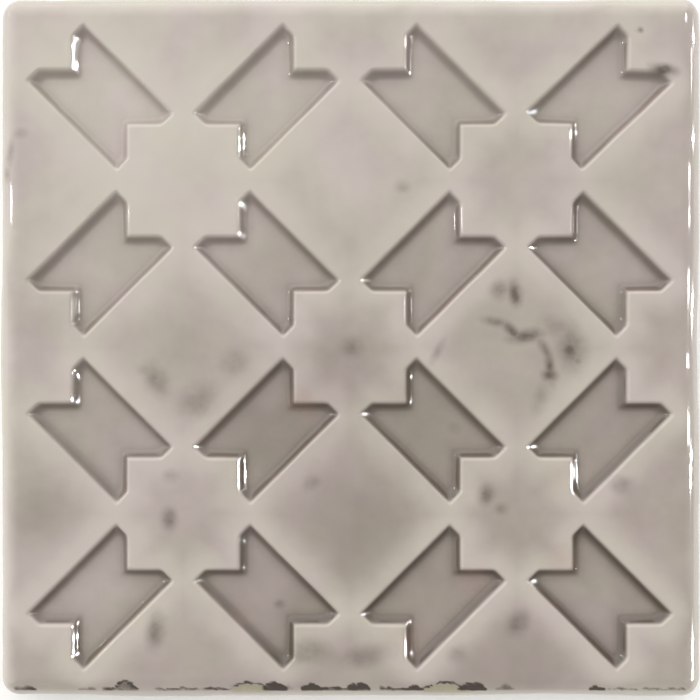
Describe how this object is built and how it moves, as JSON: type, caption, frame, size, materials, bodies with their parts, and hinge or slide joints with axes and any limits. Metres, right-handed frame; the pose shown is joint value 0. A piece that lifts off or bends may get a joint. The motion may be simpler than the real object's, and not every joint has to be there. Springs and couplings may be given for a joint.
{
  "type": "porcelain tile",
  "caption": "Square glazed porcelain wall tile with a pressed star lattice of sunk notched bars, a softly rolled rim and a keyed back for adhesive.",
  "frame": {"origin": "middle of the tile's back, on the plane that it lies on", "axes": "+Z out of the glazed face, X and Y along the rows of the square lattice and along the tile's sides"},
  "size_m": [0.15, 0.15, 0.01],
  "materials": {
    "glazed_porcelain": "glossy warm grey glaze, thin and pale on the relief's edges and pooled darker in its hollows"
  },
  "bodies": {
    "root": {"relief_tile": "glazed_porcelain"}
  },
  "joints": []
}
